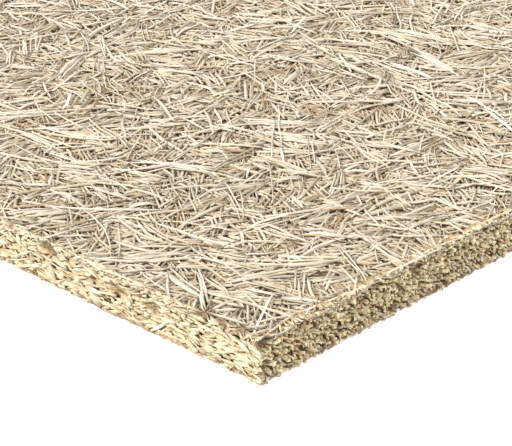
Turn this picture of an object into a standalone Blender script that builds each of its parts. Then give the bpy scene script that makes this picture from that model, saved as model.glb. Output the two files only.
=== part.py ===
"""Wood wool building panel: long thin spruce strands, coated with binder and pressed into one square board.

The two large faces are pressed between plates, so many strands end in the plane of the face and the rest
lie just under it. The two moulded sides show long strands that lie along them, and the two sawn sides
show strands cut short. All strands are bonded where they touch, so the board is one solid.
Metres, +Z up, origin under the board's centre.
"""

import math
import random

import bmesh
import bpy
from mathutils import Euler, Matrix, Vector

# The board
PANEL_LENGTH = 0.600  # along X, from one moulded side to the other
PANEL_WIDTH = 0.600  # along Y, from one sawn side to the other
PANEL_THICKNESS = 0.025
FACE_RELIEF = 0.0018  # depth of the open strand layer on the front and back faces
SIDE_RELIEF = 0.0022  # and on the four sides

# A strand: a ribbon that lies tilted, so it shows as a ridge with one wide and one steep flank
STRAND_WIDTH = 0.0090  # at its foot, which lies in the core
STRAND_ROOT = 0.0002  # how far the foot of the most tilted strand still goes into the core
STRAND_TILT = 0.20  # most roll of a strand, in radians
FLUSH_SHARE = 0.4  # share of the strands that the press has brought flush with the face
PRESSED_RISE = 0.0009  # how far the ridge of those would rise over the face, unpressed
FREE_DEPTH = (0.0001, 0.0006)  # how far the ridge of the others lies under the face

# The strands of the two faces, in bundles of nearly parallel ones
FRONT_CELLS = 8  # bundles along each edge of the front face
FRONT_BUNDLE = 4  # strands in each
BACK_CELLS = 6
BACK_BUNDLE = 2
BUNDLE_PITCH = 0.0078  # from one strand of a bundle to the next
FACE_STRAND_LENGTH = 0.098
LENGTH_SPREAD = 0.25  # how far strands differ from their stated length, as a share of it
SLIP = 0.25  # how far one slips along its bundle, as a share of its length
STRAND_BOW = 0.012  # how far the middle of a strand bows sideways
BOWED_SHARE = 0.5  # the rest lie straight
SHAKE = 0.25  # how far a bundle lies from the middle of its cell, as a share of the cell
FANNING = 0.10  # most turn of a strand from its bundle's heading, in radians
HEADING_TRIES = 6  # headings tried for a bundle, to take the one that crosses the fewest strands

# The moulded sides, with long strands
MOULDED_CELLS = (6, 3)  # strands end to end, and rows of them one over another
MOULDED_STRAND_LENGTH = 0.110
MOULDED_LEAN = 0.08  # most lean of a strand from level, in radians

# The sawn sides, with strands cut short
SAWN_CELLS = (16, 3)
SAWN_STRAND_LENGTH = 0.024
SAWN_LEAN = 0.25

# The worn corner at -X, -Y, where the front face has lost a few strands
CHIP_SIZE = (0.015, 0.013, 0.007)
CHIP_TURNS = (24, -20, 12)  # about X, Y and Z, in degrees

SEED = 12
STRAW = (0.62, 0.52, 0.38, 1.0)


def clear_scene():
    for old in list(bpy.data.objects):
        bpy.data.objects.remove(old, do_unlink=True)


def new_collection(name):
    made = bpy.data.collections.new(name)
    bpy.context.scene.collection.children.link(made)
    return made


def as_helper(helper, collection):
    """Puts an object among the helpers, which the finished board leaves out."""
    helper.hide_render = True
    helper.display_type = "WIRE"
    collection.objects.link(helper)
    return helper


def meshed(curve, collection):
    """A curve object made into a closed mesh object in its place."""
    graph = bpy.context.evaluated_depsgraph_get()
    mesh = bpy.data.meshes.new_from_object(curve.evaluated_get(graph))
    name = curve.name
    place = curve.matrix_world.copy()
    bpy.data.objects.remove(curve)
    bm = bmesh.new()
    bm.from_mesh(mesh)
    bmesh.ops.remove_doubles(bm, verts=bm.verts, dist=1e-6)
    bmesh.ops.recalc_face_normals(bm, faces=bm.faces)
    bm.to_mesh(mesh)
    bm.free()
    made = as_helper(bpy.data.objects.new(name, mesh), collection)
    made.matrix_world = place
    return made


def flat_curve(name, outline, collection):
    """A closed 2D curve object through an outline."""
    data = bpy.data.curves.new(name, "CURVE")
    data.dimensions = "2D"
    spline = data.splines.new("POLY")
    spline.points.add(len(outline) - 1)
    for point, (x, y) in zip(spline.points, outline):
        point.co = (x, y, 0, 1)
    spline.use_cyclic_u = True
    return as_helper(bpy.data.objects.new(name, data), collection)


def strand_section(relief, collection):
    """The triangle that a strand shows over the core. Its ridge is at zero and its foot in the core."""
    half = STRAND_WIDTH / 2
    depth = (relief + PRESSED_RISE + half * math.sin(STRAND_TILT) + STRAND_ROOT) / math.cos(STRAND_TILT)
    return flat_curve("strand_section", [(-half, -depth), (half, -depth), (0, 0)], collection)


def crosses(first, second):
    """Whether two strands cross, each taken as straight from end to end."""
    a, b = first[0], first[-1]
    c, d = second[0], second[-1]

    def left_of(p, q, r):
        return (q.x - p.x) * (r.y - p.y) - (q.y - p.y) * (r.x - p.x) > 0

    return left_of(a, b, c) != left_of(a, b, d) and left_of(c, d, a) != left_of(c, d, b)


def ridge_level(chance):
    """Height of a strand's ridge over the face; over zero where the mould cuts it flush."""
    if chance.random() < FLUSH_SHARE:
        return PRESSED_RISE
    return -chance.uniform(*FREE_DEPTH)


def bundle(x, y, heading, count, length, chance):
    """The ridge lines of one bundle of nearly parallel strands, from one point to the next."""
    bow = chance.uniform(-STRAND_BOW, STRAND_BOW)
    lines = []
    for index in range(count):
        turned = heading + chance.uniform(-FANNING, FANNING)
        along = Vector((math.cos(turned), math.sin(turned), 0))
        across = Vector((-math.sin(turned), math.cos(turned), 0))
        beside = (index - (count - 1) / 2) * BUNDLE_PITCH
        slip = chance.uniform(-SLIP, SLIP) * length
        centre = Vector((x, y, ridge_level(chance))) + across * beside + along * slip
        reach = along * length * chance.uniform(1 - LENGTH_SPREAD, 1 + LENGTH_SPREAD) / 2
        line = [centre - reach, centre + reach]
        if count > 1 and chance.random() < BOWED_SHARE:
            line.insert(1, centre + across * bow)
        lines.append(line)
    return lines


def is_over(size, point):
    """Whether a point of a mat lies over the core."""
    return abs(point.x) < size[0] / 2 and abs(point.y) < size[1] / 2


def mat_lines(size, cells, count, length, spread, chance):
    """Ridge lines of a mat that covers one side of the core.

    One bundle lies in each cell of a shaken grid, on the heading that crosses the fewest others. A strand
    whose middle would miss the core is left out, since nothing would hold it.
    """
    laid = []
    for column in range(cells[0]):
        for row in range(cells[1]):
            x = ((column + 0.5 + chance.uniform(-SHAKE, SHAKE)) / cells[0] - 0.5) * size[0]
            y = ((row + 0.5 + chance.uniform(-SHAKE, SHAKE)) / cells[1] - 0.5) * size[1]
            tries = []
            for _ in range(HEADING_TRIES):
                heading = chance.uniform(-spread, spread)
                tries.append(bundle(x, y, heading, count, length, chance))
            crossed = [sum(crosses(new, old) for new in tried for old in laid) for tried in tries]
            laid += tries[crossed.index(min(crossed))]
    return [line for line in laid if is_over(size, (line[0] + line[-1]) / 2)]


def strand_mat(name, lines, relief, place, collection, chance):
    """One mesh of strands that face up their own Z axis, put in place on a side of the board."""
    section = strand_section(relief, collection)
    data = bpy.data.curves.new(name, "CURVE")
    data.dimensions = "3D"
    data.twist_mode = "Z_UP"
    data.bevel_mode = "OBJECT"
    data.bevel_object = section
    data.use_fill_caps = True
    for line in lines:
        roll = chance.choice((-1, 1)) * chance.uniform(0.3, 1.0) * STRAND_TILT
        spline = data.splines.new("POLY")
        spline.points.add(len(line) - 1)
        for point, corner in zip(spline.points, line):
            point.co = (*corner, 1)
            point.tilt = roll
    curve = as_helper(bpy.data.objects.new(name, data), collection)
    curve.matrix_world = place
    mat = meshed(curve, collection)
    bpy.data.objects.remove(section)
    return mat


def box(name, size, centre):
    """A box with its size and place in its mesh."""
    mesh = bpy.data.meshes.new(name)
    bm = bmesh.new()
    bmesh.ops.create_cube(bm, size=1.0)
    bmesh.ops.scale(bm, vec=size, verts=bm.verts)
    bmesh.ops.translate(bm, vec=centre, verts=bm.verts)
    bm.to_mesh(mesh)
    bm.free()
    return bpy.data.objects.new(name, mesh)


def boolean(target, name, operation, solver):
    """Adds a Boolean modifier that stays on its object."""
    step = target.modifiers.new(name, "BOOLEAN")
    step.operation = operation
    step.solver = solver
    return step


def placed(location, *turns):
    """A place on the board, given by its location and its turns about X, Y and Z in degrees."""
    return Matrix.Translation(location) @ Euler([math.radians(turn) for turn in turns]).to_matrix().to_4x4()


def straw_material():
    material = bpy.data.materials.new("bound_wood_wool")
    material.use_nodes = True
    shader = material.node_tree.nodes["Principled BSDF"]
    shader.inputs["Base Color"].default_value = STRAW
    shader.inputs["Roughness"].default_value = 0.85
    shader.inputs["Metallic"].default_value = 0.0
    material.diffuse_color = STRAW
    return material


def build():
    clear_scene()
    chance = random.Random(SEED)
    product = new_collection("wood_wool_panel")
    mats = new_collection("strand_mats")
    cutters = new_collection("cutters")

    core_size = (
        PANEL_LENGTH - 2 * SIDE_RELIEF,
        PANEL_WIDTH - 2 * SIDE_RELIEF,
        PANEL_THICKNESS - 2 * FACE_RELIEF,
    )
    faces = core_size[:2]
    moulded = core_size[1:]
    sawn = core_size[::2]
    half = PANEL_THICKNESS / 2
    front_cells = (FRONT_CELLS, FRONT_CELLS)
    back_cells = (BACK_CELLS, BACK_CELLS)
    any_way = math.pi / 2
    front = mat_lines(faces, front_cells, FRONT_BUNDLE, FACE_STRAND_LENGTH, any_way, chance)
    strand_mat("front_strands", front, FACE_RELIEF, placed((0, 0, PANEL_THICKNESS), 0, 0, 0), mats, chance)
    back = mat_lines(faces, back_cells, BACK_BUNDLE, FACE_STRAND_LENGTH, any_way, chance)
    strand_mat("back_strands", back, FACE_RELIEF, placed((0, 0, 0), 180, 0, 0), mats, chance)
    for sign in (-1, 1):
        lines = mat_lines(moulded, MOULDED_CELLS, 1, MOULDED_STRAND_LENGTH, MOULDED_LEAN, chance)
        place = placed((sign * PANEL_LENGTH / 2, 0, half), 90, 0, sign * 90)
        strand_mat("moulded_strands", lines, SIDE_RELIEF, place, mats, chance)
        lines = mat_lines(sawn, SAWN_CELLS, 1, SAWN_STRAND_LENGTH, SAWN_LEAN, chance)
        place = placed((0, sign * PANEL_WIDTH / 2, half), 90, 0, 90 + sign * 90)
        strand_mat("sawn_strands", lines, SIDE_RELIEF, place, mats, chance)

    panel = box("panel", core_size, (0, 0, half))
    product.objects.link(panel)
    panel.data.materials.append(straw_material())
    bond = boolean(panel, "bond", "UNION", "EXACT")
    bond.operand_type = "COLLECTION"
    bond.collection = mats
    bond.use_self = True
    # The exact solver loses the whole board here with some layouts of strands, so the two cuts use the other
    mould = box("mould", (PANEL_LENGTH, PANEL_WIDTH, PANEL_THICKNESS), (0, 0, half))
    press = boolean(panel, "press", "INTERSECT", "MANIFOLD")
    press.object = as_helper(mould, cutters)
    chip = box("chip", CHIP_SIZE, (0, 0, 0))
    chip.matrix_world = placed((-PANEL_LENGTH / 2, -PANEL_WIDTH / 2, PANEL_THICKNESS), *CHIP_TURNS)
    wear = boolean(panel, "wear", "DIFFERENCE", "MANIFOLD")
    wear.object = as_helper(chip, cutters)


build()
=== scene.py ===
"""Dresses the wood wool panel with its strands: two pressed faces, two moulded sides and two sawn sides.

A strand is a thin ribbon of wood with a three-sided section. The strands of the faces and the moulded sides
are laid one after another on what lies below them, and the mould presses the last ones flat. The sawn sides
show the cut ends of short stubs with a four-sided section. Metres and radians, in the panel's frame.
"""

import math

import bpy
import numpy as np
from bpy.props import FloatProperty, FloatVectorProperty, IntProperty, PointerProperty
from bpy.types import Operator, Panel, PropertyGroup
from mathutils import Matrix, Vector


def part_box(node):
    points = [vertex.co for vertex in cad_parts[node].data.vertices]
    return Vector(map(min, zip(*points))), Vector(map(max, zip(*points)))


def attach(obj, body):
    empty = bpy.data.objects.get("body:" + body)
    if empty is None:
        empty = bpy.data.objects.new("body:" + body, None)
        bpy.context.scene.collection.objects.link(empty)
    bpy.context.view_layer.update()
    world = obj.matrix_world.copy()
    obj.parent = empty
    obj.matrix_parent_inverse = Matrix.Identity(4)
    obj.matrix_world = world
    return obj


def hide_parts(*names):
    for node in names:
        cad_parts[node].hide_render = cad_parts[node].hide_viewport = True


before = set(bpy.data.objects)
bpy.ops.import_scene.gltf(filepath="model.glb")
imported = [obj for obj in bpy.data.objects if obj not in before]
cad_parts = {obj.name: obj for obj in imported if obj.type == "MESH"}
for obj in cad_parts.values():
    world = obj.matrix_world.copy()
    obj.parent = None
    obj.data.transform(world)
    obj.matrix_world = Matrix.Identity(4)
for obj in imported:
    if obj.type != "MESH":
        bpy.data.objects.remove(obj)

bl_info = {
    "name": "Wood wool panel",
    "version": (1, 0, 0),
    "blender": (4, 5, 0),
    "location": "3D View > Sidebar > Wood wool",
    "description": "Lays the strands of a wood wool building panel",
    "category": "Add Mesh",
}

NODE = "panel"
BODY = "root"

LOW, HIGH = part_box(NODE)
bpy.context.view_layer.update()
MIDDLE = (LOW + HIGH) / 2
BOARD = HIGH - LOW

MILLIMETRE = 0.001

# How strands lie in bundles
BUNDLE_SIZES = (0.62, 0.22, 0.10, 0.06)  # share of bundles with one strand, two and so on
BUNDLE_PITCH = (1.4, 2.6)  # from one strand of a bundle to the next, in widths of a common strand
BUNDLE_FANNING = 0.06  # how far strands turn from their bundle's heading
BUNDLE_SHAKE = 0.0002  # how far they lie beside their places in it
BUNDLE_SLIP = 0.3  # how far they slip along it at most, as a share of its length
BUNDLE_LENGTHS = (0.7, 1.2)  # they are between these shares of its length
BUNDLE_BEND = 1.0  # how far their bends differ, in radians a metre
LENGTH_SPREAD = 0.40  # how far bundles differ in length, as a share of it
OVERHANG = 0.15  # how far past the edge of a side bundles are laid, as a share of their length
OVERHANG_MOST = 0.1  # and at most, as a share of half the side
LOOSE_SHARE = 0.85  # share of bundles that lie any way, while the others follow the drift
DRIFT_SPREAD = 0.65  # how far those turn from it
DRIFT_HEADING = -math.pi / 4  # heading of the drift, which waves over the board turn both ways
DRIFT_WAVES = 7
DRIFT_TURN = 0.22  # how far each wave turns it
DRIFT_LENGTHS = (0.05, 0.20)  # from crest to crest
DRIFT_PHASES = 6.3  # the waves start within this range, about a full turn
BEND = 6.0  # bend of common bundles, in radians a metre
CURLED_SHARE = 0.12  # share of bundles that are curled
CURLED_BEND = 22.0  # and their bend
SWAY = 0.07  # how far a strand's heading sways along it
SWAY_LENGTH = 0.03  # from one sway to the next

# How they are laid on what lies below them
LAID_POINTS = 41  # places along a strand at which it is laid
LAID_CELL = 0.0008  # the ground below the strands is a grid of cells of this size
LANES = np.array([-0.45, 0.0, 0.45])[:, None, None]  # where the ground is felt across a strand's width
STIFF_REACH = 7  # places over which a strand spans a dip in the ground
PLACES_TRIED = 6  # places tried for each bundle, which takes the one with the lowest ground
FEELER_STEP = 4  # the ground is felt at every so many places for that
SHORTEST = 0.003  # a strand cut shorter than this by the edge of its side falls off

# How the mould presses them
FACE_REACH = 8  # cells over which the top of the laid strands is levelled to make the pressed face
PRESSED = 0.70  # how far the laid strands are pressed together, as a share of their free height
FACE_MARGIN = 0.0014  # how far that level lies under the face
LEVEL_SPREAD = 0.00020  # how far strands lie over or under their neighbours
WAVE_HEIGHT = 0.00018  # how far a strand rises and falls along its length
WAVE_SPREAD = (0.3, 1.6)  # strands do so between these shares of that
WAVE_LENGTHS = (0.007, 0.016)  # from crest to crest
GIVE = 0.00022  # strands give way over about this height as they meet the mould, and none rises past it
LOOSE_DEPTH = 0.0028  # strands that lie deep are held up within this depth
END_DIP = 0.0006  # how far a common strand's ends dip between the others
DIP_START = 0.4  # where the dip starts, from the middle at 0 to the end at 1
DIP_CURVE = 1.5  # power with which it deepens towards the end

# The form of a strand
THICKNESS_SPREAD = (0.7, 1.3)  # strands are between these shares of the common thickness
TWIST = 0.2  # how far a common strand twists along its length
TWISTED_SHARE = 0.16  # share of strands that twist more
TWISTED = 0.7  # and how far they do
TWIST_TURNS = (0.3, 1.0)  # waves of the twist from end to end
TORN_ENDS = (0.3, 0.9)  # a torn end is between these shares of its strand's width
RIDGED_SHARE = 0.94  # share of strands that show their ridge, while the others show their flat side
RIDGE_LEAN = 0.5  # how far the ridge lies off the middle at most, in half widths
FRONT_STATIONS = 5  # sections along a strand of the front
BACK_STATIONS = 4
BACK_WIDEN = 1.45  # strands of the back against common ones
MOULDED_STATIONS = 3
MOULDED_WIDEN = 1.45
MOULDED_THIN = 0.65
MOULDED_SPREAD = 0.26  # how far strands of the moulded sides turn from the length of their side

# Cut ends on the sawn sides
CUT_SHAKE = (0.45, 0.40)  # how far they lie from their places, in spacings along the side and in rows up it
CUT_SLANT = 0.35  # how far the stubs behind them slant along the side
CUT_SLANT_MOST = 1.0
CUT_PITCH = 0.18  # and up or down
CUT_ROLL = 0.5  # how far they lie rolled about their own length
CUT_WIDTH = (0.35, 0.28)  # mean and spread of the natural logarithm of their width in millimetres
CUT_THICKNESS = (0.20, 0.28)  # and of their thickness
CUT_CORNERS = ((-0.5, -0.35), (0.45, -0.5), (0.5, 0.35), (-0.4, 0.5))  # in widths and thicknesses
CUT_CORNER_SHAKE = 0.12
CUT_TAPER = (0.75, 1.0)  # they are between these shares of the size of their roots
CUT_ROUGHNESS = 0.0007  # how deep their corners lie under them at most
STUB_REACH = 0.002  # how far the stubs reach into the inner body
TORN_SHARE = 0.50  # share of ends that are torn out
TORN_PATCHES = 0.22  # how far each wave of the patches changes that share
TORN_SUNK = (0.0004, 0.0030)  # how deep torn out ends lie
SAWN_SUNK = (0, 0.0004)  # and clean ones
PIT_WAVES = 6
PIT_LENGTHS = (0.004, 0.011)  # from one patch of torn out ends to the next

# Shares of red, green and blue that a strand keeps of its colour: painted shade first, random tone last
DEEP_SHADE = (0.58, 0.47, 0.34)  # painted shade at the bottom of the open layer
FLANK_SHADE = (0.48, 0.41, 0.32)  # painted shade along the thin lower edges of a face strand
SIDE_FLANK_SHADE = (0.88, 0.83, 0.74)  # painted shade along those of a strand of the moulded sides
ROOT_SHADE = (0.42, 0.33, 0.24)  # painted shade at the root of a sawn stub
HOLLOW_SHADE = (0.42, 0.33, 0.24)  # painted shade at the bottom of a hollow
CUT_SHADES = (0.72, 1.25)  # sawn ends differ between these
CUT_CORNER_SHADES = (0.82, 1.0)  # and the corners of one end between these

# How colours fall
PALE_ODDS = (2.2, 1.4)  # the two values of the beta spread from straw to pale
BROWN_SHARE = 0.05  # share of strands that are browned
BROWNED = (0.25, 0.9)  # how far they are
CHALKY_SHARE = 0.09  # share of strands that are thick with binder
CHALKED = (0.2, 0.7)

# Where the edges of the board have crumbled away
LOWER_BITE = 0.0024  # how far the lower edges have gone at most
UPPER_BITE = 0.0012  # and the upper edges
BITE_REACH = 0.0045  # how far in from the side that goes
BITE_LENGTHS = (0.005, 0.014)  # from one bite to the next
BITE_WAVES = 4
BITE_RISE = 0.5  # share of the full bite that one wave gives

# Hollows in the two near sides: the side, how far along it from the near corner, how high, half the length,
# half the height and how deep
HOLLOWS = (
    ("moulded", 0.148, 0.0195, 0.0078, 0.0046, 0.0033),
    ("moulded", 0.0975, 0.0150, 0.0066, 0.0038, 0.0032),
    ("moulded", 0.0735, 0.0145, 0.0052, 0.0030, 0.0030),
    ("moulded", 0.0390, 0.0230, 0.0058, 0.0026, 0.0030),
    ("moulded", 0.0270, 0.0235, 0.0052, 0.0026, 0.0030),
    ("moulded", 0.0150, 0.0235, 0.0046, 0.0024, 0.0028),
    ("sawn", 0.0044, 0.0215, 0.0056, 0.0040, 0.0034),
    ("sawn", 0.0052, 0.0085, 0.0036, 0.0042, 0.0032),
    ("sawn", 0.0300, 0.0205, 0.0040, 0.0028, 0.0030),
    ("sawn", 0.1130, 0.0190, 0.0052, 0.0036, 0.0032),
)
HOLLOW_REACH = 0.0065  # how far in from a side a hollow draws the strands
SMALL_HOLLOWS = 22  # more of them on each of the four sides, wherever they fall
SMALL_LENGTHS = (0.002, 0.0045)  # half the length of one
SMALL_HEIGHTS = (0.35, 0.7)  # half its height, as a share of that
SMALL_DEPTHS = (0.0015, 0.0032)
SMALL_LOWEST = 0.002  # how high it lies at least
CORNER_CLEAR = 0.02  # on the near sides they stay this far from the near corner

# Long strands on the front along the near sawn edge: both ends, from the near corner
EDGE_STRANDS = (
    (0.036, 0.0065, 0.084, 0.0006),
    (0.086, 0.0030, 0.128, 0.0012),
    (0.008, 0.0030, 0.034, 0.0075),
    (0.150, 0.0032, 0.205, 0.0008),
)
EDGE_WIDTH = 0.0017
EDGE_BOW = 0.0008
EDGE_DEPTH = 0.0001  # how far they lie under the face
EDGE_ROLL = 0.15
EDGE_TAPER = 0.5  # width of their ends, as a share of their own

# The maps
STRIP_SHAPE = 10  # each strand has a strip in the second map, so many times as long as it is high
STRIP_INSET = 0.12  # share of the strip that stays free round it
GRAIN_STARTS = (0.0713, 0.0377)  # from the start of one strand's grain to the next one's, along and round it
CAP_NUDGE = 0.0005  # keeps the grain of an end from having no area

# The inner body
INNER_CELLS = (100, 100, 6)
INNER_ROUGHNESS = 0.00022

# Edges up to these angles are shaded smooth
STRAND_EDGES = math.radians(100)
CUT_EDGES = math.radians(50)

# The lamps, the floor and the white surroundings
WHITE = (1.0, 1.0, 1.0, 1.0)
KEY_SOFTNESS = math.radians(7)
HIGH_SOFTNESS = math.radians(16)
FLOOR_REACH = 6.0
FLOOR_GLOW = 0.55  # how much white the eye sees in it beside the light on it

# The camera, in the photograph's frame
LENS = 168.75
SENSOR = 36.0
CAMERA_FROM_CORNER = (-0.68991, -0.66953, 0.56505)  # from the near lower corner of the board
CAMERA_PITCH = 26.50  # degrees below level
CAMERA_YAW = 45.787  # from +Y towards +X
CAMERA_ROLL = -0.435


def metres(name, about, default, least, most):
    """A length that a user can change."""
    return FloatProperty(
        name=name, description=about, default=default, min=least, max=most, unit="LENGTH", precision=5)


def tint(name, about, default):
    """A colour that a user can change."""
    return FloatVectorProperty(
        name=name, description=about, subtype="COLOR", default=default, min=0.0, max=1.0)


class StrandSettings(PropertyGroup):
    width: metres("Width", "Width of a common strand of the front", 0.0012, 0.0005, 0.006)
    width_spread: FloatProperty(
        name="Width spread", description="How far strands differ from that width, as a share of it",
        default=0.3, min=0.0, max=0.8)
    thickness: metres("Thickness", "Thickness of a common strand of the faces", 0.00085, 0.0001, 0.002)
    face_length: metres(
        "Length on the faces", "Length of a common strand of the front and back", 0.024, 0.01, 0.3)
    side_length: metres(
        "Length on the moulded sides", "Length of a common strand of the moulded sides", 0.0075, 0.002, 0.3)
    roll: FloatProperty(
        name="Roll", description="How far a strand lies rolled about its own length",
        default=0.24, min=0.0, max=1.5, unit="ROTATION")
    seed: IntProperty(name="Seed", description="Number that sets how all the strands lie", default=7, min=0)


class MatSettings(PropertyGroup):
    front_bundles: IntProperty(
        name="Front bundles", description="Bundles of strands on the front face", default=15200, min=10)
    back_bundles: IntProperty(
        name="Back bundles", description="Bundles of strands on the back face", default=6400, min=10)
    moulded_bundles: IntProperty(
        name="Moulded side bundles", description="Bundles on each moulded side", default=2600, min=10)
    sawn_ends: metres(
        "Spacing of cut ends", "From one cut strand end to the next on a sawn side", 0.0020, 0.001, 0.02)
    sawn_rows: metres(
        "Height of a row of cut ends", "From one row of cut strand ends to the next", 0.0016, 0.0005, 0.02)
    face_depth: metres(
        "Depth on the faces", "How deep the open strand layer goes under the faces", 0.0034, 0.0005, 0.01)
    side_depth: metres(
        "Depth on the sides", "How deep the open strand layer goes under the sides", 0.0036, 0.0005, 0.01)


class WoodSettings(PropertyGroup):
    pale: tint("Pale wood", "Colour of the palest strands of the faces", (0.94, 0.86, 0.74))
    straw: tint("Straw wood", "Colour of the darker strands of the faces", (0.81, 0.72, 0.56))
    side_pale: tint(
        "Pale side wood", "Colour of the palest strands of the moulded sides", (0.87, 0.80, 0.61))
    side_straw: tint(
        "Straw side wood", "Colour of the darker strands of the moulded sides", (0.77, 0.65, 0.44))
    cut_pale: tint("Pale cut ends", "Colour of the palest strand ends of the sawn sides", (0.97, 0.82, 0.55))
    cut_straw: tint(
        "Straw cut ends", "Colour of the darker strand ends of the sawn sides", (0.82, 0.64, 0.37))
    tan: tint("Bark wood", "Colour of the few brown strands", (0.50, 0.33, 0.17))
    chalky: tint("Binder white", "Colour of strands thick with binder", (0.88, 0.82, 0.72))
    # painted shade: the inner body is far darker than the wood, for the shade deep between the strands
    inner: tint("Inner body", "Colour deep between the strands", (0.20, 0.135, 0.075))


class StudioSettings(PropertyGroup):
    key: FloatProperty(
        name="Key light", description="Strength of the lamp at the left", default=3.7, min=0.0)
    key_height: FloatProperty(
        name="Key light height", description="How high the key light stands",
        default=math.radians(35), min=0.0, max=1.5, unit="ROTATION")
    key_side: FloatProperty(
        name="Key light side", description="How far the key light stands round from the moulded side",
        default=math.radians(-25), unit="ROTATION")
    high: FloatProperty(
        name="High light", description="Strength of the lamp high over the board", default=1.7, min=0.0)
    high_height: FloatProperty(
        name="High light height", description="How high the high light stands",
        default=math.radians(54), min=0.0, max=1.5, unit="ROTATION")
    high_side: FloatProperty(
        name="High light side", description="How far the high light stands round from the moulded side",
        default=math.radians(75), unit="ROTATION")
    sky: FloatProperty(
        name="Sky light", description="Strength of the light from all round", default=0.45, min=0.0)
    floor: tint("Floor", "Colour of the floor", (0.86, 0.86, 0.86))


class Side:
    """One side of the board as a flat field: its middle, its two axes, its outward normal and its size."""

    def __init__(self, u, v):
        self.u = np.array(u, float)
        self.v = np.array(v, float)
        self.normal = np.cross(self.u, self.v)
        board = np.array(BOARD)
        self.middle = np.array(MIDDLE) + self.normal * (np.abs(self.normal) @ board) / 2
        self.half = np.array([np.abs(self.u) @ board, np.abs(self.v) @ board]) / 2

    def place(self, points):
        """Points given by place along u, place along v and height over the side, in the board's frame."""
        return self.middle + points @ np.stack([self.u, self.v, self.normal])

    def stop(self, points):
        """The same, with none past the edges of the side or over it."""
        for axis in (0, 1):
            points[..., axis] = np.clip(points[..., axis], -self.half[axis], self.half[axis])
        points[..., 2] = np.minimum(points[..., 2], 0.0)
        return self.place(points)


FRONT = Side((1, 0, 0), (0, 1, 0))
BACK = Side((1, 0, 0), (0, -1, 0))
MOULDED = (Side((0, -1, 0), (0, 0, 1)), Side((0, 1, 0), (0, 0, 1)))
SAWN = (Side((1, 0, 0), (0, 0, 1)), Side((-1, 0, 0), (0, 0, 1)))


def drift(points, chance):
    """The common heading of the strands round each point, which turns slowly over the board."""
    heading = np.full(len(points), DRIFT_HEADING)
    for _ in range(DRIFT_WAVES):
        way = chance.uniform(0, 2 * math.pi)
        crests = 2 * math.pi / chance.uniform(*DRIFT_LENGTHS)
        along = points @ (crests * np.array([math.cos(way), math.sin(way)]))
        heading += DRIFT_TURN * np.sin(along + chance.uniform(0, DRIFT_PHASES))
    return heading


def bundle_strands(side, bundles, spread, length, chance):
    """Strands in bundles of nearly parallel ones: middle, heading, bend, length and the bundle of each."""
    sizes = chance.choice(len(BUNDLE_SIZES), bundles, p=BUNDLE_SIZES) + 1
    owner = np.repeat(np.arange(bundles), sizes)
    rank = np.arange(len(owner)) - np.repeat(np.cumsum(sizes) - sizes, sizes)
    count = len(owner)
    field = side.half + np.minimum(OVERHANG * length, side.half * OVERHANG_MOST)
    centre = chance.uniform(-1, 1, (bundles, 2)) * field
    if spread is None:
        heading = drift(centre, chance) + chance.normal(0, DRIFT_SPREAD, bundles)
        loose = chance.random(bundles) < LOOSE_SHARE
        heading = np.where(loose, chance.uniform(-math.pi / 2, math.pi / 2, bundles), heading)
    else:
        heading = chance.normal(0, spread, bundles)
    bend = chance.normal(0, BEND, bundles)
    curled = chance.random(bundles) < CURLED_SHARE
    bend = np.where(curled, chance.normal(0, CURLED_BEND, bundles), bend)
    lengths = length * np.exp(chance.normal(0, LENGTH_SPREAD, bundles))
    pitch = settings().strands.width * chance.uniform(*BUNDLE_PITCH, bundles)

    turned = heading[owner] + chance.normal(0, BUNDLE_FANNING, count)
    beside = (rank - (sizes[owner] - 1) / 2) * pitch[owner] + chance.normal(0, BUNDLE_SHAKE, count)
    slip = chance.uniform(-BUNDLE_SLIP, BUNDLE_SLIP, count) * lengths[owner]
    across = np.stack([-np.sin(turned), np.cos(turned)], 1)
    along = np.stack([np.cos(turned), np.sin(turned)], 1)
    middle = centre[owner] + across * beside[:, None] + along * slip[:, None]
    return {
        "middle": middle,
        "heading": turned + bend[owner] * slip,
        "bend": bend[owner] + chance.normal(0, BUNDLE_BEND, count),
        "length": lengths[owner] * chance.uniform(*BUNDLE_LENGTHS, count),
        "owner": owner,
        "count": count,
    }


def strand_lines(lot, chance):
    """Points along each strand in its side's plane, evenly spaced, as strands x points x 2."""
    steps = np.linspace(-0.5, 0.5, LAID_POINTS)
    along = lot["length"][:, None] * steps
    sway = chance.normal(0, SWAY, lot["count"])[:, None]
    phase = chance.uniform(0, 2 * math.pi, lot["count"])[:, None]
    turned = lot["heading"][:, None] + lot["bend"][:, None] * along
    turned += sway * np.sin(along * 2 * math.pi / SWAY_LENGTH + phase)
    step = (lot["length"] / (LAID_POINTS - 1))[:, None]
    x = np.cumsum(np.cos(turned) * step, 1)
    y = np.cumsum(np.sin(turned) * step, 1)
    middle = LAID_POINTS // 2
    x += lot["middle"][:, :1] - x[:, middle:middle + 1]
    y += lot["middle"][:, 1:] - y[:, middle:middle + 1]
    return np.stack([x, y], 2)


def sampled(lines, first, last, count):
    """Each line between two places on it, as count evenly spaced points."""
    places = first[:, None] + (last - first)[:, None] * np.linspace(0, 1, count)
    low = np.clip(places.astype(int), 0, lines.shape[1] - 2)
    share = (places - low)[..., None]
    rows = np.arange(len(lines))[:, None]
    return lines[rows, low] * (1 - share) + lines[rows, low + 1] * share


def run_inside(room):
    """First and last place of each line's run through its middle with room left, and if its ends are cut."""
    middle = room.shape[1] // 2
    inside = room > 0
    ahead = np.cumprod(inside[:, middle:], 1).sum(1)
    behind = np.cumprod(inside[:, middle::-1], 1).sum(1)
    last = middle + ahead - 1
    first = middle - behind + 1
    rows = np.arange(len(room))
    beyond = np.minimum(last + 1, room.shape[1] - 1)
    before = np.maximum(first - 1, 0)
    cut_last = beyond > last
    cut_first = before < first

    def step(here, there, cut):
        inner = room[rows, here]
        outer = room[rows, there]
        gap = np.where(cut, inner - outer, 1.0)
        return np.where(cut, inner / np.where(gap == 0, 1.0, gap), 0.0)

    return first - step(first, before, cut_first), last + step(last, beyond, cut_last), cut_first, cut_last


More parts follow.
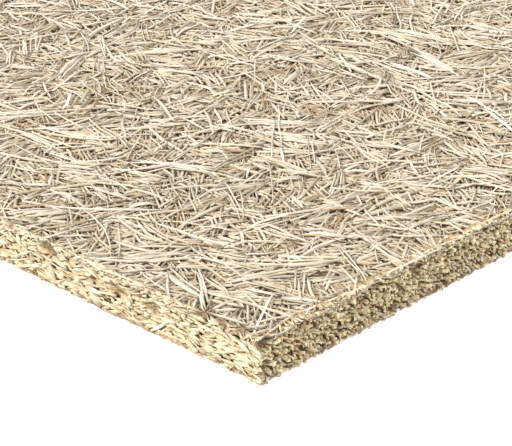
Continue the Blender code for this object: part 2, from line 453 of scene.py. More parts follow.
def windows(values, reach):
    """Each value with its neighbours, with the end values repeated outwards."""
    side = reach // 2
    padded = np.concatenate([np.repeat(values[:1], side), values, np.repeat(values[-1:], side)])
    return np.lib.stride_tricks.sliding_window_view(padded, reach)


def cells_under(side, points, ground):
    """The cells of the ground that lie under points of a side."""
    cells = ((points + side.half) / LAID_CELL).astype(int)
    return tuple(np.clip(cells[..., axis], 0, ground.shape[axis] - 1) for axis in (0, 1))


def blurred(field, reach):
    """A field smoothed over a reach of cells each way."""
    for axis in (0, 1):
        for _ in range(3):
            wide = np.concatenate([np.repeat(field.take([0], axis), reach + 1, axis), field,
                                   np.repeat(field.take([-1], axis), reach, axis)], axis)
            total = np.cumsum(wide, axis)
            upper = total.take(range(2 * reach + 1, total.shape[axis]), axis)
            field = (upper - total.take(range(total.shape[axis] - 2 * reach - 1), axis)) / (2 * reach + 1)
    return field


def settle(side, lines, owner, widths, thickness, ground):
    """Lays bundles in turn, each in the lowest of a few places, on the ground, which grows with them.

    Gives the strands laid, lowest first, and the height of the top of each along its line.
    """
    edges = np.flatnonzero(np.diff(owner)) + 1
    starts = np.concatenate([[0], edges])
    ends = np.concatenate([edges, [len(owner)]])
    feelers = cells_under(side, lines[:, ::FEELER_STEP], ground)
    laid = []
    tops = []
    for first in range(0, len(starts) - PLACES_TRIED + 1, PLACES_TRIED):
        levels = []
        for number in range(first, first + PLACES_TRIED):
            part = slice(starts[number], ends[number])
            levels.append(ground[feelers[0][part], feelers[1][part]].mean())
        best = first + int(np.argmin(levels))
        for index in range(starts[best], ends[best]):
            line = lines[index]
            way = line[2:] - line[:-2]
            way = np.concatenate([way[:1], way, way[-1:]])
            across = way[:, ::-1] * (-1, 1) / np.maximum(np.hypot(way[:, :1], way[:, 1:]), 1e-12)
            lanes = line + across * (widths[index] * LANES)
            where = cells_under(side, lanes, ground)
            below = ground[where].max(0)
            carried = windows(windows(below, STIFF_REACH).max(1), STIFF_REACH).mean(1)
            top = carried + thickness[index]
            ground[where] = np.maximum(ground[where], top)
            laid.append(index)
            tops.append(top)
    return np.array(laid), np.array(tops)


def end_dips(count, chance):
    """How far the two ends of each strand dip between the strands round it."""
    along = np.linspace(-1, 1, LAID_POINTS)
    near_end = np.clip(np.abs(along) - DIP_START, 0, None) / (1 - DIP_START)
    depths = np.abs(chance.normal(0, END_DIP, (count, 2)))
    return np.where(along < 0, depths[:, :1], depths[:, 1:]) * near_end ** DIP_CURVE


def waves(lengths, chance):
    """How far each strand rises and falls along its length."""
    count = len(lengths)
    turns = lengths / chance.uniform(*WAVE_LENGTHS, count)
    phase = chance.uniform(0, 2 * math.pi, count)[:, None]
    along = np.linspace(0, 2 * math.pi, LAID_POINTS)
    heights = WAVE_HEIGHT * chance.uniform(*WAVE_SPREAD, count)[:, None]
    return heights * np.sin(phase + turns[:, None] * along)


def twists(chance, count, stations, size):
    """How far each strand twists at each of its stations."""
    phase = chance.uniform(0, 2 * math.pi, count)[:, None]
    turns = chance.uniform(*TWIST_TURNS, count)[:, None]
    along = np.linspace(0, 1, stations)
    return size[:, None] * np.sin(phase + 2 * math.pi * turns * along)


def ribbons(side, lines, tops, widths, thickness, rolls, taper, ridged, lean):
    """Corners of the strands' sections, as strands x stations x 3 x 3, in the board's frame."""
    ways = np.gradient(lines, axis=1)
    ways /= np.maximum(np.linalg.norm(ways, axis=2, keepdims=True), 1e-12)
    across = np.stack([-ways[..., 1], ways[..., 0], np.zeros(ways.shape[:2])], 2)
    up = np.array([0.0, 0.0, 1.0])
    sine = np.sin(rolls)[..., None]
    cosine = np.cos(rolls)[..., None]
    beside = across * cosine + up * sine
    over = up * cosine - across * sine
    half = (widths[:, None] * taper / 2)[..., None]
    thick = thickness[:, None, None]
    centre = np.concatenate([lines, (tops - thickness[:, None] / 2)[..., None]], 2)
    rise = np.where(ridged, -0.5, 0.5)[:, None, None] * thick
    left = centre + beside * half + over * rise
    right = centre - beside * half + over * rise
    third = centre + beside * half * lean[:, None, None] - over * rise
    turned = ridged[:, None, None]
    rings = np.stack([np.where(turned, right, left), np.where(turned, left, right), third], 2)
    return side.stop(rings)


def small_hollows(axis, near, chance):
    """Small hollows of one side, each given as the large ones are."""
    found = []
    for _ in range(SMALL_HOLLOWS):
        length = chance.uniform(*SMALL_LENGTHS)
        place = chance.uniform(CORNER_CLEAR if near else 0, BOARD[1 - axis])
        level = chance.uniform(SMALL_LOWEST, BOARD[2])
        tall = length * chance.uniform(*SMALL_HEIGHTS)
        found.append((place, level, length, tall, chance.uniform(*SMALL_DEPTHS)))
    return found


def hollowed(points):
    """Points drawn in at the hollows of the four sides, and how deep in one each lies, up to 1."""
    low, high = np.array(LOW), np.array(HIGH)
    drawn = points.copy()
    shaded = np.zeros(points.shape[:-1])
    chance = chance_for(8)
    for kind, axis in (("moulded", 0), ("sawn", 1)):
        along = points[..., 1 - axis] - low[1 - axis]
        height = points[..., 2] - low[2]
        for near in (True, False):
            from_side = points[..., axis] - low[axis] if near else high[axis] - points[..., axis]
            inwards = 1 if near else -1
            share = np.clip(1 - from_side / HOLLOW_REACH, 0, 1)
            found = [hollow[1:] for hollow in HOLLOWS if near and hollow[0] == kind]
            for place, level, length, tall, depth in found + small_hollows(axis, near, chance):
                inside = np.clip(1 - ((along - place) / length) ** 2 - ((height - level) / tall) ** 2, 0, 1)
                drawn[..., axis] += inwards * depth * share * np.sqrt(inside)
                shaded = np.maximum(shaded, np.sqrt(inside) * (from_side < HOLLOW_REACH))
    return drawn, shaded


def crumbled(points):
    """Points drawn in where the upper and lower edges of the board have crumbled away."""
    low, high = np.array(LOW), np.array(HIGH)
    drawn = points.copy()
    chance = chance_for(9)
    for axis in (0, 1):
        along = points[..., 1 - axis]
        for from_side in (points[..., axis] - low[axis], high[axis] - points[..., axis]):
            share = np.clip(1 - from_side / BITE_REACH, 0, 1)
            for upper, bite in ((False, LOWER_BITE), (True, UPPER_BITE)):
                crests = 2 * math.pi / chance.uniform(*BITE_LENGTHS, BITE_WAVES)
                phases = chance.uniform(0, 2 * math.pi, BITE_WAVES)
                swell = sum(np.sin(crest * along + phase) for crest, phase in zip(crests, phases))
                depth = bite * share * np.clip(swell * BITE_RISE, 0, 1)
                if upper:
                    drawn[..., 2] = np.minimum(drawn[..., 2], high[2] - depth)
                else:
                    drawn[..., 2] = np.maximum(drawn[..., 2], low[2] + depth)
    return drawn


def pressed(rise):
    """Heights of strands under the face, from how far they would rise over it without the mould."""
    below = GIVE * np.log1p(np.exp(-rise / GIVE))
    return -LOOSE_DEPTH * (1 - np.exp(-below / LOOSE_DEPTH))


def corner_shades(ridged, stations, flank):
    """Painted shade: the upper corners of strands keep all their colour, the lower ones less."""
    plain = (1.0, 1.0, 1.0)
    shades = np.where(ridged[:, None, None], (flank, flank, plain), (plain, plain, flank))
    return np.repeat(shades[:, None], stations, 1)


def run_along(points):
    """How far along its strand each point lies."""
    steps = np.linalg.norm(np.diff(points, axis=1), axis=2)
    return np.concatenate([np.zeros((len(points), 1)), np.cumsum(steps, 1)], 1)


def strand_mat(side, bundles, spread, length, depth, stations, chance, widen=1.0, thin=1.0,
               flank=FLANK_SHADE):
    """All strands of one side's mat, lowest first: the corners of their sections and what each is like."""
    strand = settings().strands
    lot = bundle_strands(side, bundles * PLACES_TRIED, spread, length, chance)
    count = lot["count"]
    lines = strand_lines(lot, chance)
    room = np.min(side.half - np.abs(lines), axis=2)
    first, last, cut_first, cut_last = run_inside(room)
    widths = strand.width * widen * np.exp(chance.normal(0, strand.width_spread, count))
    thickness = strand.thickness * thin * chance.uniform(*THICKNESS_SPREAD, count)
    whole = room[:, LAID_POINTS // 2] > 0
    whole &= (last - first) / (LAID_POINTS - 1) * lot["length"] > SHORTEST
    lines = sampled(lines[whole], first[whole], last[whole], LAID_POINTS)
    widths, thickness = widths[whole], thickness[whole]

    ground = np.zeros(np.ceil(2 * side.half / LAID_CELL).astype(int) + 1)
    laid, tops = settle(side, lines, lot["owner"][whole], widths, thickness, ground)
    face = blurred(ground, FACE_REACH)
    rise = (tops - face[cells_under(side, lines[laid], ground)]) * PRESSED - FACE_MARGIN
    rise += chance.normal(0, LEVEL_SPREAD, len(laid))[:, None]
    rise += waves(lot["length"][whole][laid], chance)
    tops = pressed(rise) - end_dips(len(laid), chance)
    seen = tops.max(1) > -depth
    laid, tops = laid[seen], tops[seen]
    lines, widths, thickness = lines[laid], widths[laid], thickness[laid]
    cut_first, cut_last = cut_first[whole][laid], cut_last[whole][laid]

    count = len(laid)
    starts = np.zeros(count)
    ends = np.full(count, LAID_POINTS - 1.0)
    points = sampled(lines, starts, ends, stations)
    heights = sampled(tops[..., None], starts, ends, stations)[..., 0]
    twist = np.where(chance.random(count) < TWISTED_SHARE, TWISTED, TWIST) * chance.normal(0, 1, count)
    rolls = chance.normal(0, strand.roll, count)[:, None] + twists(chance, count, stations, twist)
    taper = np.ones((count, stations))
    torn = chance.uniform(*TORN_ENDS, (count, 2))
    taper[:, 0] = np.where(cut_first, 1.0, torn[:, 0])
    taper[:, -1] = np.where(cut_last, 1.0, torn[:, 1])
    ridged = chance.random(count) < RIDGED_SHARE
    lean = chance.uniform(-RIDGE_LEAN, RIDGE_LEAN, count)
    return {
        "rings": ribbons(side, points, heights, widths, thickness, rolls, taper, ridged, lean),
        "run": run_along(points),
        "level": heights.mean(1) / depth + 1,
        "shade": corner_shades(ridged, stations, flank),
    }


def edge_strands(stations, chance):
    """The long strands that lie on the front along its near sawn edge."""
    ends = np.array(EDGE_STRANDS).reshape(-1, 2, 2) - FRONT.half
    share = np.linspace(0, 1, stations)[None, :, None]
    lines = ends[:, :1] * (1 - share) + ends[:, 1:] * share
    count = len(lines)
    lines[..., 1] += chance.normal(0, EDGE_BOW, count)[:, None] * np.sin(np.pi * share[..., 0])
    tops = np.full((count, stations), -EDGE_DEPTH)
    tops[:, 0] = tops[:, -1] = -END_DIP
    taper = np.ones((count, stations))
    taper[:, 0] = taper[:, -1] = EDGE_TAPER
    width = np.full(count, EDGE_WIDTH)
    thickness = np.full(count, settings().strands.thickness)
    rolls = chance.normal(0, EDGE_ROLL, (count, stations))
    ridged = np.ones(count, bool)
    return {
        "rings": ribbons(FRONT, lines, tops, width, thickness, rolls, taper, ridged, np.zeros(count)),
        "run": run_along(lines),
        "level": np.ones(count),
        "shade": corner_shades(ridged, stations, FLANK_SHADE),
    }


def pits(u, v, chance):
    """How far each place of a sawn side lies in a patch of torn out ends."""
    patches = np.zeros(len(u))
    for _ in range(PIT_WAVES):
        way = chance.uniform(0, 2 * math.pi)
        crests = 2 * math.pi / chance.uniform(*PIT_LENGTHS)
        along = crests * (u * math.cos(way) + v * math.sin(way))
        patches += np.sin(along + chance.uniform(0, 2 * math.pi))
    return patches


def cut_ends(side, spacing, row, depth, chance):
    """Short stubs whose sawn ends show on a sawn side, as strands x 2 stations x 4 corners."""
    columns = int(2 * side.half[0] / spacing)
    rows = int(2 * side.half[1] / row)
    u = (np.arange(columns) + 0.5) / columns * 2 - 1
    v = (np.arange(rows) + 0.5) / rows * 2 - 1
    u, v = (grid.ravel() for grid in np.meshgrid(u, v))
    count = len(u)
    u = u * side.half[0] + chance.normal(0, CUT_SHAKE[0], count) * spacing
    v = v * side.half[1] + chance.normal(0, CUT_SHAKE[1], count) * row
    slant = np.clip(chance.normal(0, CUT_SLANT, count), -CUT_SLANT_MOST, CUT_SLANT_MOST)
    pitch = chance.normal(0, CUT_PITCH, count)
    roll = chance.normal(0, CUT_ROLL, count)
    width = np.exp(chance.normal(*CUT_WIDTH, count)) * MILLIMETRE / np.cos(slant)
    thick = np.exp(chance.normal(*CUT_THICKNESS, count)) * MILLIMETRE
    patches = pits(u, v, chance)
    torn = chance.random(count) < TORN_SHARE + TORN_PATCHES * patches
    sunk = np.where(torn, chance.uniform(*TORN_SUNK, count), chance.uniform(*SAWN_SUNK, count))

    root = depth + STUB_REACH
    shape = np.array(CUT_CORNERS)[None] + chance.uniform(-CUT_CORNER_SHAKE, CUT_CORNER_SHAKE, (count, 4, 2))
    a = shape[..., 0] * width[:, None]
    b = shape[..., 1] * thick[:, None]
    cosine, sine = np.cos(roll)[:, None], np.sin(roll)[:, None]
    flat = np.stack([a * cosine - b * sine, a * sine + b * cosine], 2)
    outer = np.stack([u, v], 1)[:, None] + flat * chance.uniform(*CUT_TAPER, count)[:, None, None]
    slip = np.stack([np.tan(slant), np.tan(pitch)], 1) * (root - sunk)[:, None]
    inner = np.stack([u, v], 1)[:, None] + slip[:, None] + flat
    rings = np.empty((count, 2, 4, 3))
    rings[:, 0, :, :2] = outer
    rings[:, 1, :, :2] = inner
    rings[:, 0, :, 2] = -sunk[:, None] - chance.uniform(0, CUT_ROUGHNESS, (count, 4))
    rings[:, 1, :, 2] = -root
    keep = (np.abs(u) < side.half[0]) & (np.abs(v) < side.half[1])
    run = np.stack([np.zeros(count), np.full(count, root)], 1)
    shade = np.empty((count, 2, 4, 3))
    shade[:, 0] = chance.uniform(*CUT_CORNER_SHADES, (count, 4, 1))
    # painted shade at the roots of the stubs, deep between them
    shade[:, 1] = ROOT_SHADE
    # a sunk end lies deeper, so it is darkened more as painted shade in its pit
    level = 1 - sunk / root
    return {"rings": side.stop(rings)[keep], "run": run[keep], "level": level[keep], "shade": shade[keep]}


def strand_tones(count, level, pale, straw, chance):
    """A colour for each strand, between straw and pale, with some brown ones and some thick with binder."""
    wood = settings().wood
    share = chance.beta(*PALE_ODDS, count)[:, None]
    tones = np.array(straw) * (1 - share) + np.array(pale) * share
    kind = chance.random(count)
    browned = chance.uniform(*BROWNED, count)[:, None] * (kind < BROWN_SHARE)[:, None]
    tones = tones * (1 - browned) + np.array(wood.tan) * browned
    chalked = chance.uniform(*CHALKED, count)[:, None] * (kind > 1 - CHALKY_SHARE)[:, None]
    tones = tones * (1 - chalked) + np.array(wood.chalky) * chalked
    # painted shade: the deeper a strand lies, the more DEEP_SHADE darkens it
    deep = np.clip(level, 0, 1)[:, None]
    return tones * (1 - (1 - deep) * (1 - np.array(DEEP_SHADE)))


def worn_with_painted_shade(lot):
    """The same strands with the board's hollows and crumbled edges, and painted shade in the hollows."""
    rings, shaded = hollowed(lot["rings"])
    kept = 1 - shaded[..., None] * (1 - np.array(HOLLOW_SHADE))
    return {**lot, "rings": crumbled(rings), "shade": lot["shade"] * kept}


def strand_mesh(name, lots, tones):
    """A mesh of strands that are each closed, with their colours and two maps."""
    data = bpy.data.meshes.new(name)
    lots = [worn_with_painted_shade(lot) for lot in lots]
    add_faces(data, lots)
    add_colours(data, lots, tones)
    add_maps(data, lots)
    return data


def add_faces(data, lots):
    """The faces round each strand and the two that close its ends."""
    base = 0
    places = []
    quads = []
    caps = []
    for lot in lots:
        rings = lot["rings"]
        count, stations, corners, _ = rings.shape
        index = base + np.arange(count * stations * corners).reshape(count, stations, corners)
        turned = np.roll(index, -1, 2)
        quads.append(np.stack([index[:, :-1], turned[:, :-1], turned[:, 1:], index[:, 1:]], 3).reshape(-1, 4))
        caps += [(index[:, 0, ::-1], corners), (index[:, -1], corners)]
        places.append(rings.reshape(-1, 3))
        base += count * stations * corners
    quads = np.concatenate(quads)
    loops = np.concatenate([quads.ravel()] + [cap.ravel() for cap, _ in caps])
    totals = np.concatenate([np.full(len(quads), 4)] + [np.full(len(cap), corners) for cap, corners in caps])
    places = np.concatenate(places)
    data.vertices.add(len(places))
    data.vertices.foreach_set("co", places.astype(np.float32).ravel())
    data.loops.add(len(loops))
    data.loops.foreach_set("vertex_index", loops.astype(np.int32))
    data.polygons.add(len(totals))
    data.polygons.foreach_set("loop_start", (np.cumsum(totals) - totals).astype(np.int32))
    data.update(calc_edges=True)


def add_colours(data, lots, tones):
    """The colour of each corner, from its strand's own and its shade."""
    colour = data.color_attributes.new("strand_colour", "FLOAT_COLOR", "POINT")
    spread = [(tone[:, None, None] * lot["shade"]).reshape(-1, 3) for tone, lot in zip(tones, lots)]
    spread = np.concatenate(spread)
    filled = np.concatenate([spread, np.ones((len(spread), 1))], 1)
    colour.data.foreach_set("color", filled.astype(np.float32).ravel())


def add_maps(data, lots):
    """The grain map, in metres along and round each strand, and a map with a strip for each strand."""
    total = sum(len(lot["rings"]) for lot in lots)
    columns = max(1, round(math.sqrt(total / STRIP_SHAPE)))
    lines = math.ceil(total / columns)
    grain_parts = []
    bake_parts = []
    grain_caps = []
    bake_caps = []
    index = 0
    for lot in lots:
        rings = lot["rings"]
        count, stations, corners, _ = rings.shape
        width = np.linalg.norm(np.roll(rings, -1, 2) - rings, axis=3).mean(1)
        around = np.concatenate([np.zeros((count, 1)), np.cumsum(width, 1)], 1)
        number = index + np.arange(count)
        along = lot["run"] + (number * GRAIN_STARTS[0] % 1.0)[:, None]
        shift = (number * GRAIN_STARTS[1] % 1.0)[:, None]
        index += count
        column = (number % columns)[:, None]
        line = (number // columns)[:, None]
        reach = np.maximum(lot["run"][:, -1:], 1e-6)
        strip_u = (column + STRIP_INSET / 2 + (1 - STRIP_INSET) * lot["run"] / reach) / columns
        strip_v = (line + STRIP_INSET / 2 + (1 - STRIP_INSET) * around / around[:, -1:]) / lines

        def corners_of_quads(u, v):
            found = np.empty((count, stations - 1, corners, 4, 2))
            found[..., 0, 0] = found[..., 1, 0] = u[:, :-1, None]
            found[..., 2, 0] = found[..., 3, 0] = u[:, 1:, None]
            found[..., 0, 1] = found[..., 3, 1] = v[:, None, :-1]
            found[..., 1, 1] = found[..., 2, 1] = v[:, None, 1:]
            return found.reshape(-1, 2)

        def corners_of_caps(u, v, nudge):
            found = np.empty((2, count, corners, 2))
            found[0, :, :, 0] = u[:, :1] - nudge * (np.arange(corners) == 1)
            found[1, :, :, 0] = u[:, -1:] + nudge * (np.arange(corners) == 1)
            found[0, :, :, 1] = v[:, :-1][:, ::-1]
            found[1, :, :, 1] = v[:, :-1]
            return found.reshape(-1, 2)

        grain_parts.append(corners_of_quads(along, around + shift))
        bake_parts.append(corners_of_quads(strip_u, strip_v))
        grain_caps.append(corners_of_caps(along, around + shift, CAP_NUDGE))
        bake_caps.append(corners_of_caps(strip_u, strip_v, STRIP_INSET / 3 / columns))
    for name, parts in (("grain", grain_parts + grain_caps), ("OFBake", bake_parts + bake_caps)):
        layer = data.uv_layers.new(name=name)
        layer.uv.foreach_set("vector", np.concatenate(parts).astype(np.float32).ravel())
    data.uv_layers.active = data.uv_layers["OFBake"]


def in_scene(name, data):
    """A new object in the scene."""
    made = bpy.data.objects.new(name, data)
    bpy.context.scene.collection.objects.link(made)
    return made


def place_piece(name, data, material, smooth_up_to=STRAND_EDGES):
    """Puts a finished mesh in the scene as a piece that rides with the board and stands for its solid."""
    data.materials.append(material)
    data.shade_smooth()
    data.set_sharp_from_angle(angle=smooth_up_to)
    piece = in_scene(name, data)
    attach(piece, BODY)
    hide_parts(NODE)
    return piece


def set_sockets(made, sockets):
    """Sets the sockets of a node, whose names have lines for spaces."""
    for name, value in sockets.items():
        made.inputs[name.replace("_", " ")].default_value = value


def node(tree, kind, **sockets):
    """A new node with the given socket values."""
    made = tree.nodes.new(kind)
    set_sockets(made, sockets)
    return made


def new_material(name, **sockets):
    """A new material, its tree and its shader with the given socket values."""
    material = bpy.data.materials.new(name)
    material.use_nodes = True
    shader = material.node_tree.nodes["Principled BSDF"]
    set_sockets(shader, sockets)
    return material, material.node_tree, shader


def strand_material():
    """Bound wood: each strand's own colour, with grain along it and chalky binder."""
    found = bpy.data.materials.get("strand_wood")
    if found:
        return found
    material, tree, shader = new_material("strand_wood", Roughness=0.82, Specular_IOR_Level=0.25)
    link = tree.links.new

    own = tree.nodes.new("ShaderNodeAttribute")
    own.attribute_name = "strand_colour"
    lie = tree.nodes.new("ShaderNodeUVMap")
    lie.uv_map = "grain"
    stretch = node(tree, "ShaderNodeMapping", Scale=(160.0, 2600.0, 1.0))
    link(lie.outputs["UV"], stretch.inputs["Vector"])
    grain = node(tree, "ShaderNodeTexNoise", Scale=1.0, Detail=4.0, Roughness=0.6)
    grain.noise_dimensions = "2D"
    link(stretch.outputs["Vector"], grain.inputs["Vector"])
    fibres = node(tree, "ShaderNodeMapRange", From_Min=0.30, From_Max=0.70, To_Min=0.78, To_Max=1.12)
    link(grain.outputs["Fac"], fibres.inputs["Value"])
    grained = tree.nodes.new("ShaderNodeVectorMath")
    grained.operation = "SCALE"
    link(own.outputs["Color"], grained.inputs[0])
    link(fibres.outputs["Result"], grained.inputs["Scale"])

    where = tree.nodes.new("ShaderNodeTexCoord")
    chalk = node(tree, "ShaderNodeTexNoise", Scale=420.0, Detail=5.0, Roughness=0.65)
    link(where.outputs["Object"], chalk.inputs["Vector"])
    dusted = node(tree, "ShaderNodeMapRange", From_Min=0.52, From_Max=0.72, To_Max=0.28)
    link(chalk.outputs["Fac"], dusted.inputs["Value"])
    bound = tree.nodes.new("ShaderNodeMix")
    bound.data_type = "RGBA"
    bound.inputs["B"].default_value = (*settings().wood.chalky, 1.0)
    link(dusted.outputs["Result"], bound.inputs["Factor"])
    link(grained.outputs["Vector"], bound.inputs["A"])
    link(bound.outputs["Result"], shader.inputs["Base Color"])

    bump = node(tree, "ShaderNodeBump", Strength=0.5, Distance=0.0002)
    link(grain.outputs["Fac"], bump.inputs["Height"])
    link(bump.outputs["Normal"], shader.inputs["Normal"])
    return material


def inner_material():
    """The wood deep between the strands, painted dark as the shade there."""
    material, tree, shader = new_material("inner_wood", Roughness=0.95, Specular_IOR_Level=0.1)
    link = tree.links.new
    where = tree.nodes.new("ShaderNodeTexCoord")
    clumps = node(tree, "ShaderNodeTexNoise", Scale=300.0, Detail=6.0, Roughness=0.7)
    link(where.outputs["Object"], clumps.inputs["Vector"])
    shades = tree.nodes.new("ShaderNodeValToRGB")
    inner = np.array(settings().wood.inner)
    shades.color_ramp.elements[0].position = 0.35
    shades.color_ramp.elements[0].color = (*inner * 0.5, 1.0)
    shades.color_ramp.elements[1].position = 0.70
    shades.color_ramp.elements[1].color = (*inner * 1.6, 1.0)
    link(clumps.outputs["Fac"], shades.inputs["Fac"])
    link(shades.outputs["Color"], shader.inputs["Base Color"])
    bump = node(tree, "ShaderNodeBump", Strength=0.8, Distance=0.0006)
    link(clumps.outputs["Fac"], bump.inputs["Height"])
    link(bump.outputs["Normal"], shader.inputs["Normal"])
    return material


def settings():
    """The sizes and colours that a user can change."""
    return bpy.context.scene.wood_wool


def chance_for(piece):
    """The random numbers of one piece, the same in each run."""
    return np.random.default_rng([settings().strands.seed, piece])


class WOODWOOL_OT_inner_body(Operator):
    """Make the rough inner body, painted dark as shade, that shows between the strands"""

    bl_idname = "wood_wool.inner_body"
    bl_label = "Inner body"

    def execute(self, context):
        mats = settings().mats
        chance = chance_for(1)
        size = np.array(BOARD) - 2 * np.array([mats.side_depth, mats.side_depth, mats.face_depth])
        points, quads = block_grid(size, INNER_CELLS)
        points += np.array(MIDDLE) + chance.normal(0, INNER_ROUGHNESS, points.shape)
        data = bpy.data.meshes.new("inner_body")
        data.from_pydata(points, [], quads)
        place_piece("inner_body", data, inner_material())
        return {"FINISHED"}


def block_grid(size, cells):
    """A closed block whose six sides are grids of cells."""
    number = {}
    points = []
    quads = []

    def corner(place):
        if place not in number:
            number[place] = len(points)
            points.append([(p / c - 0.5) * s for p, c, s in zip(place, cells, size)])
        return number[place]

    for axis in range(3):
        first, second = (axis + 1) % 3, (axis + 2) % 3
        for level, order in ((0, -1), (cells[axis], 1)):
            for i in range(cells[first]):
                for j in range(cells[second]):
                    ring = []
                    for di, dj in ((0, 0), (1, 0), (1, 1), (0, 1))[::order]:
                        place = [0, 0, 0]
                        place[axis], place[first], place[second] = level, i + di, j + dj
                        ring.append(corner(tuple(place)))
                    quads.append(ring)
    return np.array(points), quads


def place_layers(names, mat, tones):
    """Places one mat as layers of equal numbers of strands, the deepest first."""
    ends = np.linspace(0, len(tones), len(names) + 1).astype(int)
    for name, start, end in zip(names, ends[:-1], ends[1:]):
        lot = {key: value[start:end] for key, value in mat.items()}
        place_piece(name, strand_mesh(name, [lot], [tones[start:end]]), strand_material())


class WOODWOOL_OT_front_face(Operator):
    """Lay and press the strands of the front face"""

    bl_idname = "wood_wool.front_face"
    bl_label = "Front face"

    def execute(self, context):
        chance = chance_for(2)
        mats, wood, strand = settings().mats, settings().wood, settings().strands
        mat = strand_mat(
            FRONT, mats.front_bundles, None, strand.face_length, mats.face_depth, FRONT_STATIONS, chance)
        edge = edge_strands(FRONT_STATIONS, chance)
        mat = {key: np.concatenate([value, edge[key]]) for key, value in mat.items()}
        tones = strand_tones(len(mat["rings"]), mat["level"], wood.pale, wood.straw, chance)
        layers = ("front_deep_strands", "front_lower_strands", "front_middle_strands", "front_upper_strands")
        place_layers(layers, mat, tones)
        return {"FINISHED"}


class WOODWOOL_OT_back_face(Operator):
    """Lay and press the strands of the back face"""

    bl_idname = "wood_wool.back_face"
    bl_label = "Back face"

    def execute(self, context):
        chance = chance_for(3)
        mats, wood, strand = settings().mats, settings().wood, settings().strands
        mat = strand_mat(
            BACK, mats.back_bundles, None, strand.face_length, mats.face_depth, BACK_STATIONS, chance,
            BACK_WIDEN)
        tones = strand_tones(len(mat["rings"]), mat["level"], wood.pale, wood.straw, chance)
        place_layers(("back_deep_strands", "back_outer_strands"), mat, tones)
        return {"FINISHED"}


class WOODWOOL_OT_moulded_sides(Operator):
    """Lay and press the strands of the two moulded sides"""

    bl_idname = "wood_wool.moulded_sides"
    bl_label = "Moulded sides"

    def execute(self, context):
        chance = chance_for(4)
        mats, wood, strand = settings().mats, settings().wood, settings().strands
        lots = []
        tones = []
        for side in MOULDED:
            lots.append(strand_mat(
                side, mats.moulded_bundles, MOULDED_SPREAD, strand.side_length, mats.side_depth,
                MOULDED_STATIONS, chance, MOULDED_WIDEN, MOULDED_THIN, SIDE_FLANK_SHADE))
            tones.append(strand_tones(
                len(lots[-1]["rings"]), lots[-1]["level"], wood.side_pale, wood.side_straw, chance))
        data = strand_mesh("moulded_side_strands", lots, tones)
        place_piece("moulded_side_strands", data, strand_material())
        return {"FINISHED"}


class WOODWOOL_OT_sawn_sides(Operator):
    """Make the cut strand ends of the two sawn sides"""

    bl_idname = "wood_wool.sawn_sides"
    bl_label = "Sawn sides"

    def execute(self, context):
        chance = chance_for(5)
        mats, wood = settings().mats, settings().wood
        lots = []
        tones = []
        for side in SAWN:
            lots.append(cut_ends(side, mats.sawn_ends, mats.sawn_rows, mats.side_depth, chance))
            count = len(lots[-1]["rings"])
            tone = strand_tones(count, lots[-1]["level"], wood.cut_pale, wood.cut_straw, chance)
            tones.append(np.minimum(tone * chance.uniform(*CUT_SHADES, count)[:, None], 1.0))
        data = strand_mesh("sawn_side_ends", lots, tones)
        place_piece("sawn_side_ends", data, strand_material(), CUT_EDGES)
        return {"FINISHED"}


class WOODWOOL_OT_studio(Operator):
    """Set the camera, the lights, the white surroundings and the floor"""

    bl_idname = "wood_wool.studio"
    bl_label = "Studio"

    def execute(self, context):
        set_camera()
        set_lights()
        lay_floor()
        view = context.scene.view_settings
        view.view_transform = "Standard"
        return {"FINISHED"}


def set_camera():
    """The camera at the photograph's viewing angle."""
    data = bpy.data.cameras.new("camera")
    data.lens = LENS
    data.sensor_width = SENSOR
    data.clip_start = 0.05
    data.clip_end = 20.0
    camera = in_scene("camera", data)
    turn = (
        Matrix.Rotation(-math.radians(CAMERA_YAW), 4, "Z")
        @ Matrix.Rotation(math.pi / 2 - math.radians(CAMERA_PITCH), 4, "X")
        @ Matrix.Rotation(math.radians(CAMERA_ROLL), 4, "Z")
    )
    camera.matrix_world = Matrix.Translation(LOW + Vector(CAMERA_FROM_CORNER)) @ turn
    bpy.context.scene.camera = camera


def white_to_the_eye(tree):
    """1 for what the camera sees by itself, in a mirror or through glass, and 0 for what lights the scene."""
    path = tree.nodes.new("ShaderNodeLightPath")
    seen = path.outputs["Is Camera Ray"]
    for ray in ("Is Glossy Ray", "Is Transmission Ray"):
        either = tree.nodes.new("ShaderNodeMath")
        either.operation = "MAXIMUM"
        tree.links.new(seen, either.inputs[0])
        tree.links.new(path.outputs[ray], either.inputs[1])
        seen = either.outputs[0]
    return seen


def hang_lamp(name, strength, height, side, softness):
    """A far lamp, turned round from the moulded side at the left and raised over the floor."""
    lamp = bpy.data.lights.new(name, "SUN")
    lamp.energy = strength
    lamp.angle = softness
    hung = in_scene(name, lamp)
    level = math.cos(height)
    towards = Vector((-level * math.cos(side), -level * math.sin(side), math.sin(height)))
    hung.rotation_mode = "QUATERNION"
    hung.rotation_quaternion = towards.to_track_quat("Z", "Y")


def set_lights():
    """Two lamps, and surroundings that are white to the eye and dimmer as a light."""
    studio = settings().studio
    hang_lamp("key_light", studio.key, studio.key_height, studio.key_side, KEY_SOFTNESS)
    hang_lamp("high_light", studio.high, studio.high_height, studio.high_side, HIGH_SOFTNESS)

    world = bpy.data.worlds.new("surroundings")
    bpy.context.scene.world = world
    world.use_nodes = True
    tree = world.node_tree
    lit = tree.nodes["Background"]
    set_sockets(lit, {"Color": WHITE, "Strength": studio.sky})
    seen = node(tree, "ShaderNodeBackground", Color=WHITE, Strength=1.0)
    mix = tree.nodes.new("ShaderNodeMixShader")
    tree.links.new(white_to_the_eye(tree), mix.inputs["Fac"])
    tree.links.new(lit.outputs[0], mix.inputs[1])
    tree.links.new(seen.outputs[0], mix.inputs[2])
    tree.links.new(mix.outputs[0], tree.nodes["World Output"].inputs["Surface"])


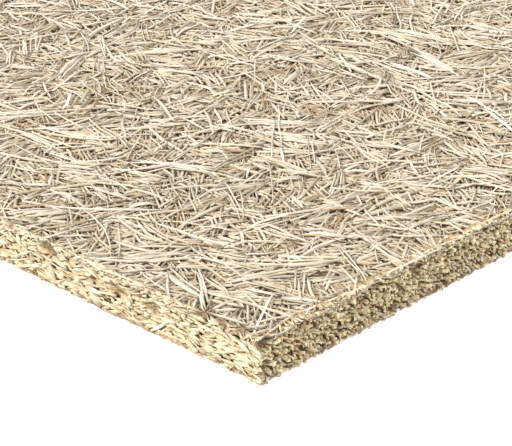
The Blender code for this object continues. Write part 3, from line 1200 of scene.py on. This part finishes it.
def floor_material():
    """Pale floor that looks near white and keeps the board's shadow."""
    own = (*settings().studio.floor, 1.0)
    material, tree, shader = new_material("floor", Base_Color=own, Roughness=0.9, Emission_Color=WHITE)
    glow = tree.nodes.new("ShaderNodeMath")
    glow.operation = "MULTIPLY"
    glow.inputs[1].default_value = FLOOR_GLOW
    tree.links.new(white_to_the_eye(tree), glow.inputs[0])
    tree.links.new(glow.outputs[0], shader.inputs["Emission Strength"])
    return material


def lay_floor():
    """The floor that the board lies on."""
    data = bpy.data.meshes.new("floor")
    corners = [(-1, -1), (1, -1), (1, 1), (-1, 1)]
    data.from_pydata([(x * FLOOR_REACH, y * FLOOR_REACH, LOW.z) for x, y in corners], [], [(0, 1, 2, 3)])
    floor = in_scene("floor", data)
    data.materials.append(floor_material())


STEPS = (
    WOODWOOL_OT_studio, WOODWOOL_OT_inner_body, WOODWOOL_OT_front_face, WOODWOOL_OT_back_face,
    WOODWOOL_OT_moulded_sides, WOODWOOL_OT_sawn_sides,
)


class WoodWoolSettings(PropertyGroup):
    strands: PointerProperty(type=StrandSettings)
    mats: PointerProperty(type=MatSettings)
    wood: PointerProperty(type=WoodSettings)
    studio: PointerProperty(type=StudioSettings)


class VIEW3D_PT_wood_wool(Panel):
    """Lists the steps that make the board and its studio"""

    bl_label = "Wood wool panel"
    bl_space_type = "VIEW_3D"
    bl_region_type = "UI"
    bl_category = "Wood wool"

    def draw(self, context):
        for step in STEPS:
            self.layout.operator(step.bl_idname)


CLASSES = (
    StrandSettings, MatSettings, WoodSettings, StudioSettings, WoodWoolSettings, *STEPS, VIEW3D_PT_wood_wool)


def register():
    for made in CLASSES:
        bpy.utils.register_class(made)
    bpy.types.Scene.wood_wool = PointerProperty(type=WoodWoolSettings)


def unregister():
    del bpy.types.Scene.wood_wool
    for made in reversed(CLASSES):
        bpy.utils.unregister_class(made)


def main():
    register()
    bpy.ops.wood_wool.studio()
    bpy.ops.wood_wool.inner_body()
    bpy.ops.wood_wool.front_face()
    bpy.ops.wood_wool.back_face()
    bpy.ops.wood_wool.moulded_sides()
    bpy.ops.wood_wool.sawn_sides()


if __name__ == "__main__":
    main()
